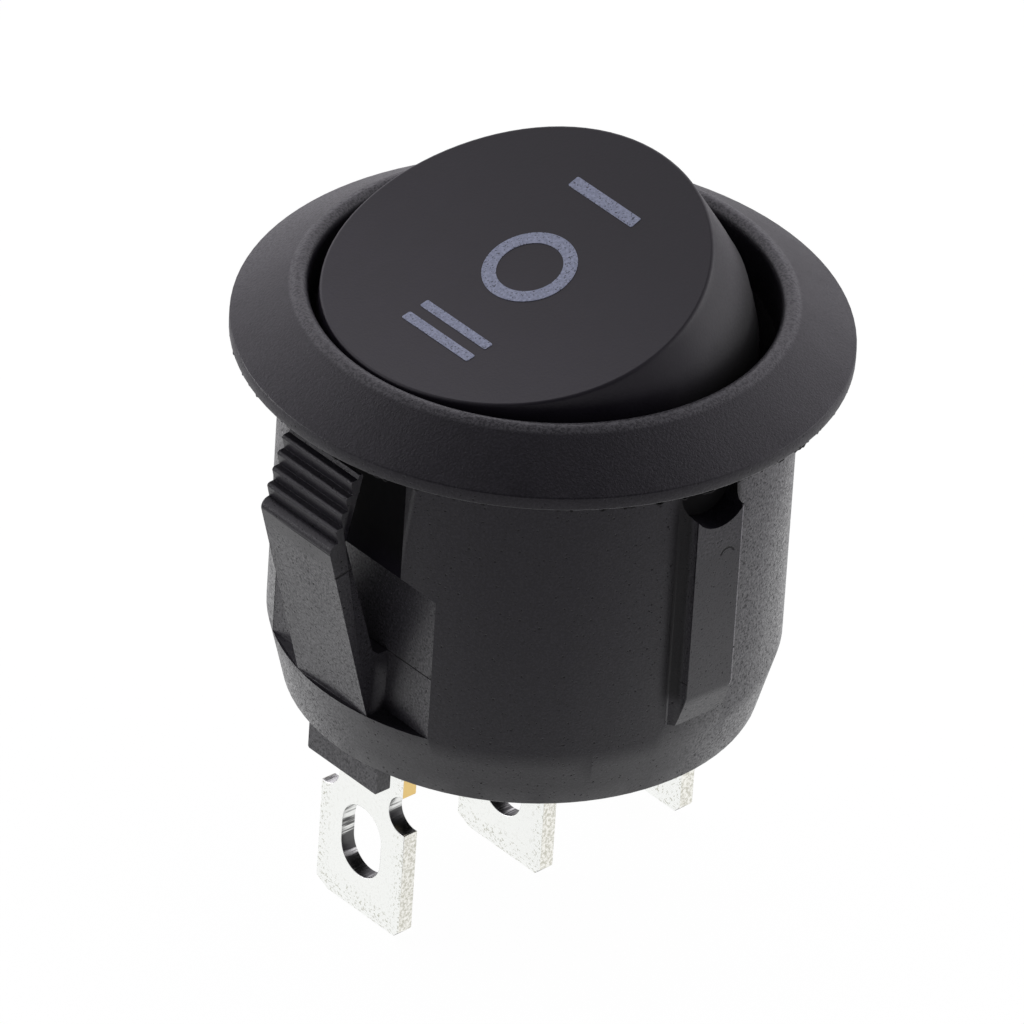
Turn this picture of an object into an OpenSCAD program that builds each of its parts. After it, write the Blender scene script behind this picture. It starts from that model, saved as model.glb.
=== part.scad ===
// Round snap-in panel rocker switch: three positions, one changeover contact set, three blade
// terminals. Millimetres. +Z points out of the panel and the origin is the middle of the bezel's
// seat on it. X runs along the rocker, from its II end at -X to its I end at +X. The rocker is
// drawn with the II end pressed, which closes the contacts under the I end.

/* [Bezel] */
// Diameter of the bezel
bezel_d = 23; // [22.6:0.1:26]
// Height of the bezel's lip above the panel
bezel_h = 2.1; // [1.6:0.1:2.4]
// Height of the bezel's upright rim
rim_h = 0.52; // [0.3:0.02:0.9]
// Radius of the rounded lip round the opening
lip_r = 0.4; // [0.2:0.05:0.6]

/* [Body] */
// Diameter of the body behind the panel
body_d = 19.1; // [17.2:0.1:20]
// Thickness of the body's wall round the opening that the rocker sits in
front_wall = 0.9; // [0.8:0.05:1]
// Depth of the body behind the panel
body_depth = 14.7; // [14.2:0.1:17]
// Height of the taper at the foot of the body
taper_h = 2.7; // [1.5:0.1:2.7]
// How far the taper draws in on each side
taper_in = 0.7; // [0.3:0.1:1]
// Thickness of the body's lower wall
body_wall = 1.25; // [1:0.05:1.6]
// Thickness of the body's floor
floor_t = 1.8; // [1.2:0.1:2.2]
// Depth of the wide upper cavity below the panel
swing_depth = 4.8; // [4.4:0.1:5.2]

/* [Latches] */
// Width of each snap latch
latch_w = 3.9; // [3:0.1:4.8]
// How far the latch stands out of the body
latch_reach = 2.03; // [1.7:0.01:2.2]
// Thickness of the latch's springy arm
latch_t = 0.78; // [0.6:0.02:0.9]
// Depth of the latch's top below the panel
latch_top = 1; // [0.8:0.05:1.1]
// Depth of the latch's widest point below the panel
latch_crest = 4.1; // [3.9:0.1:4.6]
// Number of teeth that grip the panel
tooth_count = 5; // [3:1:5]
// Spacing of the teeth
tooth_pitch = 0.62; // [0.5:0.01:0.64]
// Radius of each tooth's rounded corner
tooth_round = 0.12; // [0.08:0.01:0.15]
// Radius of the latch's widest edge, below its lowest groove
crest_round = 0.35; // [0.2:0.05:0.4]
// How far each tooth overhangs the one above
tooth_step = 0.2; // [0.15:0.01:0.24]
// Depth of the gap behind the latch, where its arm is rooted
latch_root = 9.4; // [8.4:0.1:10]
// Width of the pocket that the latch's head springs into
pocket_w = 6.1; // [5.2:0.1:7]
// Depth of that pocket into the body
pocket_depth = 0.5; // [0.3:0.05:0.6]
// Height of that pocket below the panel
pocket_h = 5.45; // [5.1:0.05:6]
// Width of the deeper relief behind the latch's arm
relief_w = 8.8; // [7:0.1:9.2]
// Thickness of the wall behind that relief
relief_wall = 0.96; // [0.8:0.01:1]

/* [Keys] */
// Width of the face of each locating key
key_w = 2.2; // [1.6:0.1:2.6]
// How far each key stands out of the body
key_reach = 0.65; // [0.4:0.05:0.9]
// Radius of the hollow fillets beside the key
key_fillet = 0.8; // [0.3:0.1:0.8]
// Depth at which the key starts to slope in
key_h = 10; // [8:0.1:10.2]
// Length of the slope at the key's foot
key_slope = 1.4; // [0.6:0.1:1.6]
// How far that slope leans in
key_lean = 0.45; // [0.2:0.05:0.6]

/* [Stand-off bars] */
// Height of the bars under the body
bar_h = 1.1; // [0.6:0.1:1.3]
// Thickness of the bars
bar_t = 0.65; // [0.5:0.05:1]
// Radius of the bars' lower corners
bar_round = 0.1; // [0.1:0.1:0.4]

/* [Rocker] */
// Half of the rocker's swing in degrees
throw = 16.4; // [12:0.2:16.8]
// Depth of the rocker's pivot below the panel
pivot_depth = 1.5; // [1.4:0.05:1.7]
// Height of the middle of the rocker's face above its pivot
face_rise = 5.15; // [4.6:0.05:5.3]
// Hollow of the face from its ends to its middle
face_dish = 0.55; // [0.3:0.05:0.8]
// Clearance between the rocker's belly and the opening
belly_gap = 0.45; // [0.4:0.05:0.7]
// Clearance between the opening and the tapered wall of the pressed end
press_gap = 0.13; // [0.08:0.01:0.2]
// Length of the blend between the belly and the tapered wall
belly_blend = 1; // [0.4:0.1:1.4]
// Thickness of the rocker's side wall
rocker_wall = 1; // [0.8:0.05:1.3]
// Thickness of the rocker under its face
face_t = 1.1; // [0.9:0.1:1.5]
// Height of the skirt's end edges above the pivot
skirt_h = 0.9; // [0.7:0.1:1.6]
// Radius of the pivot bosses
boss_r = 2; // [1.7:0.1:2.3]
// Radius of the pivot trunnions
trunnion_r = 1.3; // [1:0.05:1.35]
// Running clearance round the trunnions and the plunger
running_gap = 0.05; // [0.03:0.01:0.08]
// How far the trunnions reach past the belly
trunnion_len = 1; // [0.85:0.05:1.2]
// Outer radius of the stem that holds the plunger
stem_r = 2.1; // [1.95:0.05:2.4]
// Length of the stem below the pivot
stem_len = 4.6; // [4:0.1:4.9]
// Thickness of the ribs that stiffen the stem
rib_t = 0.9; // [0.7:0.1:1.2]

/* [Plunger] */
// Radius of the plunger's guide
plunger_r = 1.4; // [1.3:0.05:1.45]
// Radius of the plunger's round tip
tip_r = 1; // [0.8:0.05:1.1]
// Length of the plunger's guide
guide_len = 3; // [2.4:0.1:3.4]
// Radius of the pilot inside the spring
pilot_r = 0.75; // [0.6:0.05:0.85]
// Length of the pilot inside the spring
pilot_len = 1; // [0.6:0.1:1.4]
// Thickness of the spring's wire
wire_d = 0.36; // [0.28:0.02:0.4]
// Number of turns of the spring
spring_turns = 8; // [6:1:9]

/* [Contacts] */
// Depth of the contact strip's fulcrum below the panel
fulcrum_depth = 9.6; // [9.5:0.05:9.8]
// Half of the contact strip's swing in degrees
strip_throw = 8.2; // [6:0.1:8.4]
// Thickness of the contact strip
strip_t = 0.5; // [0.4:0.05:0.6]
// Width of the contact strip
strip_w = 5; // [4.4:0.1:5.4]
// Depth of the locating notches in the strip's edges
notch_depth = 0.6; // [0.4:0.05:0.8]
// Length of those notches
notch_len = 1.3; // [1.1:0.1:1.5]
// Radius of the moving contacts
moving_r = 1.1; // [0.9:0.05:1.2]
// Height of the moving contacts' heads
moving_h = 0.4; // [0.3:0.05:0.5]
// Radius of the domes on the moving contacts
dome_r = 3; // [2.5:0.5:4]
// Radius of the fixed contacts
fixed_r = 1.2; // [1:0.05:1.3]
// Height of the fixed contacts' heads
fixed_h = 0.45; // [0.35:0.05:0.55]
// Radius of the rivet shanks
shank_r = 0.55; // [0.4:0.05:0.65]
// Seating clearance between fixed pieces
seat_gap = 0.02; // [0.01:0.01:0.05]

/* [Terminals] */
// Distance of the end blades' middle from the body's side
blade_setback = 2.65; // [2.5:0.05:2.8]
// Width of the blades
blade_w = 4.7; // [4.4:0.05:4.9]
// Thickness of the blades
blade_t = 0.65; // [0.5:0.05:0.8]
// How far the blades reach below the body
blade_reach = 8.2; // [7.6:0.05:9]
// How far the blades sit to one side of the body's middle
blade_aside = 0.25; // [0:0.05:0.35]
// Width of the blade's root, above the neck
root_w = 4.3; // [3.8:0.1:4.6]
// Radius of the round notches that form the neck
notch_r = 0.78; // [0.5:0.02:0.85]
// Height of the notches' middle above the blade's tip
notch_up = 5.55; // [5.4:0.05:5.8]
// Size of the chamfers at the blade's tip corners
tip_chamfer = 0.45; // [0.2:0.05:0.6]
// Height of the slopes on both faces of the blade's tip
tip_slope = 0.5; // [0.3:0.05:0.8]
// Thickness left at the very tip
tip_t = 0.3; // [0.2:0.05:0.4]
// Width of the solder eye
eye_w = 2.2; // [1.6:0.05:2.3]
// Length of the solder eye
eye_len = 3; // [2.6:0.05:3.3]
// Height of the eye's middle above the blade's tip
eye_up = 3.25; // [3.1:0.05:3.4]
// Clearance of the slots that the terminals pass through
slot_gap = 0.05; // [0.02:0.01:0.08]
// Inner bend radius of the end terminals
bend_r = 0.3; // [0.2:0.05:0.5]
// Length of the fixed contact's arm, measured from the blade's middle
arm_len = 2.9; // [2.8:0.05:3.1]
// Height of the fulcrum's side horns above the strip's seat
horn_h = 1.2; // [0.9:0.1:1.4]
// Width of each side horn
horn_w = 0.9; // [0.6:0.1:1.2]

/* [Hidden] */
$fn = 96;
// Overlap that makes joined shapes of one piece one solid
lap = 0.3;
// Reach of a cutting shape past what it cuts
past = 1;

bezel_r = bezel_d / 2;
body_r = body_d / 2;
opening_r = body_r - front_wall;
pitch = body_r - blade_setback;
floor_z = floor_t - body_depth;
pivot_z = -pivot_depth;
fulcrum_z = -fulcrum_depth;

// Inner faces of the lower cavity, clear of the end terminals
end_gap = 0.28;
cavity_x = pitch + blade_t / 2 + end_gap;
cavity_r = body_r - body_wall;
relief_x = cavity_x + relief_wall;
pocket_x = body_r - pocket_depth;
relief_z = -(body_depth - taper_h);

// Latch: widest point, tooth stack and the face that leads into the panel
crest_x = body_r + latch_reach;
tooth_out = tooth_step + 0.12;
teeth_x = crest_x - tooth_step * (tooth_count - 1) - tooth_out - 0.04;
teeth_z = -latch_crest + tooth_pitch * (tooth_count - 1) + 0.46;
face_slope = (crest_x - body_r + 0.23) / (-latch_crest - 0.1 - relief_z);
foot_inset = 0.23;
foot_x = body_r - foot_inset;

// Rocker: straight belly, and the tapered wall that lies along the opening when its end is pressed
belly_r = opening_r - belly_gap;
edge_rise = face_rise + face_dish;
function wall_r(rise) = (opening_r - press_gap - rise * sin(throw)) / cos(throw);
face_r = wall_r(edge_rise);
taper_rise = (opening_r - press_gap - belly_r * cos(throw)) / sin(throw);
blend_in = belly_blend * tan(throw / 2) / 4;
dish_r = (face_r * face_r + face_dish * face_dish) / (2 * face_dish);
stem_bore_r = plunger_r + running_gap;

// Path of the plunger's tip over the strip, in the strip's own frame
strip_gap = 0.03;
drop = fulcrum_depth - pivot_depth;
tip_len = drop - strip_t - tip_r - strip_gap;
side_drop = drop - tip_len * cos(throw);
path_x = tip_len * sin(throw) * cos(strip_throw) - side_drop * sin(strip_throw);
path_z = tip_len * sin(throw) * sin(strip_throw) + side_drop * cos(strip_throw);
path_rise = path_z - (drop - tip_len);
path_r = (path_x * path_x + path_rise * path_rise) / (2 * path_rise);
cradle_r = path_r + tip_r + strip_gap;
cradle_z = strip_t + cradle_r;
cradle_angle = asin(path_x / path_r) + 3;
wing_x = cradle_r * sin(cradle_angle);
wing_z = cradle_z - cradle_r * cos(cradle_angle);
strip_end = pitch - blade_t / 2 - 0.375;

// Contacts: the dome touches the middle of the fixed contact when its side is down
dome_z = wing_z - strip_t - moving_h + dome_r;
fixed_x = pitch - 1.5;
moving_x = (fixed_x - dome_z * sin(strip_throw)) / cos(strip_throw);
fixed_top = fulcrum_z - moving_x * sin(strip_throw) + dome_z * cos(strip_throw) - dome_r - seat_gap;
arm_z = fixed_top - fixed_h;

// Blades
tip_z = -(body_depth + blade_reach);
notch_z = tip_z + notch_up;
slot_w = blade_w + 2 * slot_gap;
slot_t = blade_t + 2 * slot_gap;

plastic_black = [0.09, 0.09, 0.10];
tinned = [0.86, 0.87, 0.88];
copper = [0.80, 0.53, 0.32];
silver = [0.90, 0.90, 0.88];
nylon = [0.93, 0.92, 0.88];
spring_steel = [0.60, 0.61, 0.63];

// ---------- helpers ----------

// Extrudes an X-Z outline to a width along Y, centred on the X-Z plane
module across(width) {
    rotate([90, 0, 0]) linear_extrude(width, center = true) children();
}

// Extrudes a Y-Z outline to a thickness along X, centred on the Y-Z plane
module sheet(thickness) {
    rotate([90, 0, 90]) linear_extrude(thickness, center = true) children();
}

// Both ends of the X axis
module both_ends() {
    for (turn = [0, 180]) rotate([0, 0, turn]) children();
}

// Frame of the rocker, its origin on the pivot, at rest on its II end
module rocker_frame() {
    translate([0, 0, pivot_z]) rotate([0, -throw, 0]) children();
}

// Frame of the contact strip, its origin on the fulcrum, at rest on its I end
module strip_frame() {
    translate([0, 0, fulcrum_z]) rotate([0, strip_throw, 0]) children();
}

// ---------- housing ----------

// Section of the bezel: upright rim, sloped face and rounded lip
module bezel_section() {
    lip = [opening_r + lip_r, bezel_h - lip_r];
    rim = [bezel_r, rim_h];
    run = rim - lip;
    turn = atan2(run[1], run[0]) + acos(lip_r / norm(run));
    meet = lip + lip_r * [cos(turn), sin(turn)];
    polygon([[body_r - body_wall, 0], [bezel_r, 0], rim, meet, lip, [opening_r, lip[1]], [opening_r, 0]]);
    translate(lip) circle(lip_r);
}

// Section of the solid body below the panel, with its tapered foot
module body_section() {
    polygon([[0, -body_depth], [body_r - taper_in, -body_depth], [body_r, relief_z],
             [body_r, 0], [0, 0]]);
}

// The space that the rocker and the contacts work in
module cavity() {
    translate([0, 0, -swing_depth]) cylinder(h = swing_depth + bezel_h + past, r = opening_r);
    intersection() {
        translate([0, 0, floor_z]) cylinder(h = -floor_z, r = cavity_r);
        translate([-cavity_x, -body_r, floor_z]) cube([2 * cavity_x, body_d, -floor_z]);
    }
}

// Recess behind a latch: a pocket for its head, and a deeper relief with a sloped ceiling
module latch_recess() {
    translate([pocket_x, -pocket_w / 2, -pocket_h]) cube([body_r, pocket_w, pocket_h]);
    across(relief_w)
        polygon([[relief_x, relief_z], [body_r + past, relief_z],
                 [body_r + past, -pocket_h - pocket_x + body_r + past],
                 [pocket_x, -pocket_h], [relief_x, -pocket_h - (pocket_x - relief_x)]]);
}

// Outline of one rounded tooth, its root at the origin
module tooth_outline() {
    corner = [tooth_out - tooth_round, -0.02 - tooth_round];
    polygon([[-lap / 3, 0], [corner[0], -0.02], [tooth_out, corner[1]], [tooth_step, -tooth_pitch],
             [-lap / 3, -tooth_pitch]]);
    translate(corner) circle(tooth_round);
}

// Outline of a latch: toothed head, lead-in face, springy arm and root
module latch_outline() {
    face_z = -latch_crest - 0.1;
    knee = [crest_x - latch_t + 0.07, -latch_crest + 0.35];
    root_x = crest_x - (latch_root + face_z) * face_slope - latch_t * 1.1;
    top_z = teeth_z - tooth_pitch * (tooth_count - 1);
    roll = [crest_x - crest_round, top_z - crest_round];
    run = [foot_x, relief_z] - roll;
    turn = atan2(run[1], run[0]) + acos(crest_round / norm(run));
    polygon([[teeth_x - 0.18, -latch_top], [teeth_x - 0.05, -latch_top], [teeth_x, teeth_z + 0.02],
             [teeth_x + tooth_step * (tooth_count - 1), top_z], [roll[0], top_z], roll,
             roll + crest_round * [cos(turn), sin(turn)], [foot_x, relief_z], [foot_x - lap, relief_z - lap],
             [relief_x - lap, relief_z - lap], [relief_x - lap, -latch_root], [root_x - 0.3, -latch_root],
             [root_x, -latch_root + 0.25], knee, [teeth_x - 0.23, -latch_top - 0.1]]);
    translate(roll) circle(crest_round);
    for (k = [0 : tooth_count - 2])
        translate([teeth_x + k * tooth_step, teeth_z - k * tooth_pitch]) tooth_outline();
}

// Locating key: flat face, hollow flanks, sloped foot
module key() {
    face_y = body_r + key_reach;
    side = key_w / 2 + key_fillet;
    intersection() {
        translate([0, 0, -key_h - key_slope]) linear_extrude(key_h + key_slope)
            difference() {
                translate([-side, body_r - 2 * lap]) square([2 * side, key_reach + 2 * lap]);
                for (s = [-1, 1])
                    translate([s * side, face_y - 0.12]) circle(key_fillet);
                for (s = [-1, 1])
                    translate([s * (side + past / 2), face_y]) square([past, 4 * key_reach], center = true);
            }
        sheet(4 * side)
            polygon([[0, past], [face_y, past], [face_y, -key_h], [face_y - key_lean, -key_h - key_slope],
                     [0, -key_h - key_slope]]);
    }
}

// Bar outboard of an end blade, which keeps the body off a board
module standoff_bar() {
    translate([relief_x - bar_t + 0.13, 0, -body_depth - bar_h]) rotate([90, 0, 90]) linear_extrude(bar_t) {
        translate([-latch_w / 2, bar_round]) square([latch_w, bar_h - bar_round + lap]);
        translate([-latch_w / 2 + bar_round, 0]) square([latch_w - 2 * bar_round, bar_h]);
        for (s = [-1, 1]) translate([s * (latch_w / 2 - bar_round), bar_round]) circle(bar_round);
    }
}

// Blocks on the floor that carry the contact arms and the fulcrum
module supports() {
    arm_in = pitch - arm_len;
    guide_t = 1.1;
    both_ends() translate([arm_in, -blade_w / 2 + lap, floor_z - lap])
        cube([arm_len - blade_t / 2 - bend_r - slot_gap, blade_w - 2 * lap, arm_z - blade_t - seat_gap - floor_z + lap]);
    both_ends() translate([slot_t / 2, -blade_w / 2 - lap, floor_z - lap])
        cube([guide_t, blade_w + 2 * lap, 1.6 + lap]);
}

module housing() {
    color(plastic_black)
        difference() {
            union() {
                rotate_extrude() bezel_section();
                difference() {
                    rotate_extrude() body_section();
                    both_ends() latch_recess();
                    cavity();
                }
                both_ends() across(latch_w) latch_outline();
                difference() {
                    for (turn = [0, 180]) rotate([0, 0, turn]) key();
                    cylinder(h = 4 * body_depth, r = opening_r, center = true);
                }
                both_ends() standoff_bar();
                supports();
            }
            translate([0, 0, pivot_z]) rotate([90, 0, 0])
                cylinder(h = 2 * (bezel_r + past), r = trunnion_r + running_gap, center = true);
            for (k = [-1, 0, 1])
                translate([k * pitch, blade_aside, -body_depth]) cube([slot_t, slot_w, 3 * body_depth / 4], center = true);
        }
}

// ---------- rocker ----------

// Half section of the rocker's wall, drawn in by the given amount
module wall_section(inset) {
    low = taper_rise - belly_blend;
    high = taper_rise + belly_blend * cos(throw);
    polygon([[0, -2 * boss_r], [belly_r - inset, -2 * boss_r], [belly_r - inset, low],
             [belly_r - blend_in - inset, taper_rise], [wall_r(high) - inset, high],
             [face_r - inset, edge_rise], [0, edge_rise]]);
}

// Side outline of the rocker: hollow face, end skirts and the bosses round the pivot
module side_outline() {
    difference() {
        union() {
            polygon([[-belly_r - past, skirt_h], [-boss_r, 0], [boss_r, 0], [belly_r + past, skirt_h],
                     [belly_r + past, edge_rise + past], [-belly_r - past, edge_rise + past]]);
            circle(boss_r);
        }
        translate([0, face_rise + dish_r]) circle(dish_r);
    }
}

module rocker() {
    ceiling = face_rise - face_t;
    color(plastic_black)
        rocker_frame() {
            difference() {
                union() {
                    intersection() {
                        difference() {
                            rotate_extrude() wall_section(0);
                            intersection() {
                                rotate_extrude() wall_section(rocker_wall);
                                translate([0, 0, ceiling - 3 * belly_r / 2]) cube(3 * belly_r, center = true);
                            }
                        }
                        across(4 * belly_r) side_outline();
                    }
                    for (s = [-1, 1])
                        rotate([s * 90, 0, 0]) translate([0, 0, belly_r - rocker_wall / 2])
                            cylinder(h = rocker_wall / 2 + trunnion_len, r = trunnion_r);
                    translate([0, 0, -stem_len]) cylinder(h = stem_len + ceiling + lap, r = stem_r);
                    intersection() {
                        rotate_extrude() wall_section(rocker_wall / 2);
                        for (turn = [0, 90]) rotate([0, 0, turn])
                            translate([-belly_r, -rib_t / 2, skirt_h + rib_t])
                                cube([2 * belly_r, rib_t, ceiling + lap - skirt_h - rib_t]);
                    }
                }
                translate([0, 0, -stem_len - past]) cylinder(h = stem_len + past + ceiling - lap, r = stem_bore_r);
            }
        }
}

// ---------- plunger and spring ----------

shoulder_z = -tip_len + 1 + guide_len;
spring_top = face_rise - face_t - lap;

module plunger() {
    color(nylon)
        rocker_frame() {
            translate([0, 0, -tip_len]) sphere(tip_r);
            translate([0, 0, -tip_len]) cylinder(h = 1, r1 = tip_r, r2 = plunger_r);
            translate([0, 0, -tip_len + 1]) cylinder(h = guide_len, r = plunger_r);
            translate([0, 0, shoulder_z - lap]) cylinder(h = pilot_len + lap, r = pilot_r);
        }
}

// Coil spring: a round wire swept along a helix, its end turns closed
module plunger_spring() {
    sides = 8;
    steps = 18;
    wire_r = wire_d / 2;
    coil_r = stem_bore_r - wire_r - running_gap;
    rise = spring_top - shoulder_z - wire_d - 2 * seat_gap;
    rings = spring_turns * steps;
    function climb(t) = t < 1 ? wire_d * t : t > spring_turns - 1
        ? rise - wire_d * (spring_turns - t)
        : wire_d + (rise - 2 * wire_d) * (t - 1) / (spring_turns - 2);
    points = [for (i = [0 : rings], j = [0 : sides - 1])
        let (a = 360 * i / steps, b = 360 * j / sides, r = coil_r + wire_r * cos(b))
        [r * cos(a), r * sin(a), climb(i / steps) + wire_r * sin(b)]];
    walls = [for (i = [0 : rings - 1], j = [0 : sides - 1])
        [i * sides + j, (i + 1) * sides + j, (i + 1) * sides + (j + 1) % sides, i * sides + (j + 1) % sides]];
    caps = [[for (j = [0 : sides - 1]) j], [for (j = [sides - 1 : -1 : 0]) rings * sides + j]];
    color(spring_steel)
        rocker_frame() translate([0, 0, shoulder_z + wire_r + seat_gap])
            polyhedron(points, concat(walls, caps), convexity = 10);
}

// ---------- contact strip ----------

// Outline of the strip: a cradle under the plunger and a level wing on each side
module strip_outline() {
    difference() {
        union() {
            intersection() {
                translate([0, cradle_z]) circle(cradle_r + strip_t);
                translate([-wing_x, 0]) square([2 * wing_x, wing_z]);
            }
            for (s = [-1, 1])
                translate([s * (strip_end + wing_x) / 2, wing_z - strip_t / 2])
                    square([strip_end - wing_x + strip_t, strip_t], center = true);
        }
        translate([0, cradle_z]) circle(cradle_r);
    }
}

module contact_strip() {
    color(copper)
        strip_frame()
            difference() {
                across(strip_w) strip_outline();
                for (s = [-1, 1])
                    translate([0, s * strip_w / 2, 0]) cube([notch_len, 2 * notch_depth, 4 * wing_z], center = true);
                for (s = [-1, 1])
                    translate([s * moving_x, 0, 0]) cylinder(h = 2 * wing_z, r = shank_r + seat_gap);
            }
}

// Domed rivet under one end of the strip
module moving_contact(side) {
    upset = 0.15;
    under = wing_z - strip_t - seat_gap;
    color(silver)
        strip_frame() translate([side * moving_x, 0, 0]) {
            intersection() {
                translate([0, 0, under - moving_h]) cylinder(h = moving_h, r = moving_r);
                translate([0, 0, dome_z]) sphere(dome_r);
            }
            translate([0, 0, under - moving_h / 2])
                cylinder(h = strip_t + moving_h / 2 + 2 * seat_gap + upset / 2, r = shank_r);
            translate([0, 0, wing_z + seat_gap]) cylinder(h = upset, r = shank_r + upset);
        }
}

module moving_contact_i() { moving_contact(1); }
module moving_contact_ii() { moving_contact(-1); }

// ---------- terminals ----------

// Outline of a blade: tab with its solder eye, round notches and the root through the floor
module blade_outline(top) {
    half = blade_w / 2;
    difference() {
        polygon([[-half + tip_chamfer, tip_z], [half - tip_chamfer, tip_z], [half, tip_z + tip_chamfer],
                 [half, notch_z], [root_w / 2, notch_z], [root_w / 2, top], [-root_w / 2, top],
                 [-root_w / 2, notch_z], [-half, notch_z], [-half, tip_z + tip_chamfer]]);
        for (s = [-1, 1])
            translate([s * (half - 0.15), notch_z]) circle(notch_r);
        for (s = [-1, 1])
            translate([0, tip_z + eye_up + s * (eye_len - eye_w) / 2]) circle(eye_w / 2);
        translate([-eye_w / 2, tip_z + eye_up - (eye_len - eye_w) / 2]) square([eye_w, eye_len - eye_w]);
    }
}

// Blade with the slopes on both faces of its tip
module blade(top) {
    intersection() {
        translate([0, blade_aside, 0]) sheet(blade_t) blade_outline(top);
        across(4 * blade_w)
            polygon([[-tip_t / 2, tip_z], [tip_t / 2, tip_z], [blade_t / 2, tip_z + tip_slope], [blade_t / 2, top],
                     [-blade_t / 2, top], [-blade_t / 2, tip_z + tip_slope]]);
    }
}

// Side outline of an end terminal's bend and arm, the blade's middle at X = 0, arm towards -X
module arm_outline() {
    outer = bend_r + blade_t;
    hub = [-outer + blade_t / 2, arm_z - outer];
    difference() {
        union() {
            translate([-blade_t / 2, floor_z]) square([blade_t, hub[1] - floor_z]);
            translate([-arm_len, arm_z - blade_t]) square([arm_len + hub[0], blade_t]);
            intersection() {
                translate(hub) circle(outer);
                translate(hub) square(outer + past);
            }
        }
        translate(hub) circle(bend_r);
    }
}

// End terminal: blade, bend and arm with the rivet hole of its fixed contact
module end_terminal(side) {
    color(tinned) {
        translate([side * pitch, 0, 0]) blade(floor_z + lap);
        translate([side * pitch, 0, 0]) rotate([0, 0, side > 0 ? 0 : 180])
            difference() {
                across(root_w) arm_outline();
                translate([fixed_x - pitch, 0, arm_z]) cylinder(h = 2 * bend_r + 2 * blade_t, r = shank_r + seat_gap, center = true);
            }
    }
}

module terminal_i() { end_terminal(1); }
module terminal_ii() { end_terminal(-1); }

// Centre terminal: its top edge is the strip's fulcrum, between two horns that hold the strip
module terminal_common() {
    seat_z = fulcrum_z - strip_gap;
    notch_y = strip_w / 2 - notch_depth + 2 * running_gap;
    round_r = blade_t / 2;
    color(tinned) {
        blade(floor_z + lap);
        intersection() {
            sheet(blade_t)
                difference() {
                    translate([-notch_y - horn_w, floor_z]) square([2 * (notch_y + horn_w), seat_z + horn_h - floor_z]);
                    translate([-notch_y, seat_z]) square([2 * notch_y, horn_h + past]);
                }
            union() {
                translate([-round_r, -2 * body_r, floor_z - past])
                    cube([blade_t, 4 * body_r, seat_z - round_r - floor_z + past]);
                translate([0, 0, seat_z - round_r]) rotate([90, 0, 0]) cylinder(h = 4 * body_r, r = round_r, center = true);
                for (s = [-1, 1])
                    translate([-round_r, s * (notch_y + 2 * horn_w) - 2 * horn_w, seat_z - blade_t])
                        cube([blade_t, 4 * horn_w, horn_h + 2 * blade_t]);
            }
        }
    }
}

// Flat rivet on an end terminal's arm
module fixed_contact(side) {
    color(silver)
        translate([side * fixed_x, 0, arm_z + seat_gap]) {
            cylinder(h = fixed_h - seat_gap, r = fixed_r);
            translate([0, 0, -blade_t]) cylinder(h = blade_t + fixed_h / 2, r = shank_r);
        }
}

module fixed_contact_i() { fixed_contact(1); }
module fixed_contact_ii() { fixed_contact(-1); }

housing();
rocker();
plunger();
plunger_spring();
contact_strip();
moving_contact_i();
moving_contact_ii();
fixed_contact_i();
fixed_contact_ii();
terminal_i();
terminal_common();
terminal_ii();
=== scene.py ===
"""Panel rocker switch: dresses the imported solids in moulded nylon, printed signs and tin plate.

The rest position has the rocker pressed at its II end. Sizes are in millimetres in the classes
below, and become metres when a mesh is made.
"""

import logging
import math
import random
from dataclasses import dataclass, field
from enum import Enum
from typing import Sequence

import bmesh
import bpy
from mathutils import Matrix, Vector, noise


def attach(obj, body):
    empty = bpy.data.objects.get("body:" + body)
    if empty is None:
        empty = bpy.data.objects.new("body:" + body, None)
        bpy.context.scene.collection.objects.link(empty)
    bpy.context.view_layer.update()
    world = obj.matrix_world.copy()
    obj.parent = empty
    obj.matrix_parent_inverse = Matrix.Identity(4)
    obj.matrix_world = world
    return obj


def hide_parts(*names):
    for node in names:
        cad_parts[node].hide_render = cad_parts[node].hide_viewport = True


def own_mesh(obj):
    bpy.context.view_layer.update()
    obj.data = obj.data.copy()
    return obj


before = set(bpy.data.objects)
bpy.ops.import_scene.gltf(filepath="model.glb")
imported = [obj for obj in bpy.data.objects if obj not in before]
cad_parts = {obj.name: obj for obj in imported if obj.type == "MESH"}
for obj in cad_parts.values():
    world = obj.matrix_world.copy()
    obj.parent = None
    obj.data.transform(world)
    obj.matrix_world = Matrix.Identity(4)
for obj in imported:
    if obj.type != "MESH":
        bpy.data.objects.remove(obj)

MM = 0.001
LOG = logging.getLogger("rocker_switch")

# Edges that turn by more degrees than this are sharp
SHARP = 18.0

# How far the rocker leans at rest, in degrees, and the height of its pivot
TILT = 16.4
PIVOT_Z = -1.5

Colour = tuple[float, float, float]
Limits = tuple[float, float]


class Body(Enum):
    """The rigid bodies that pieces ride on."""

    BASE = "base"
    ROCKER = "rocker_body"


class Slot(Enum):
    """The record's material slots."""

    HOUSING = "housing_plastic"
    ROCKER = "rocker_plastic"
    SPRING = "spring_wire"
    TERMINAL = "terminal_tin"


# ---------------------------------------------------------------- shader building


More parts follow.
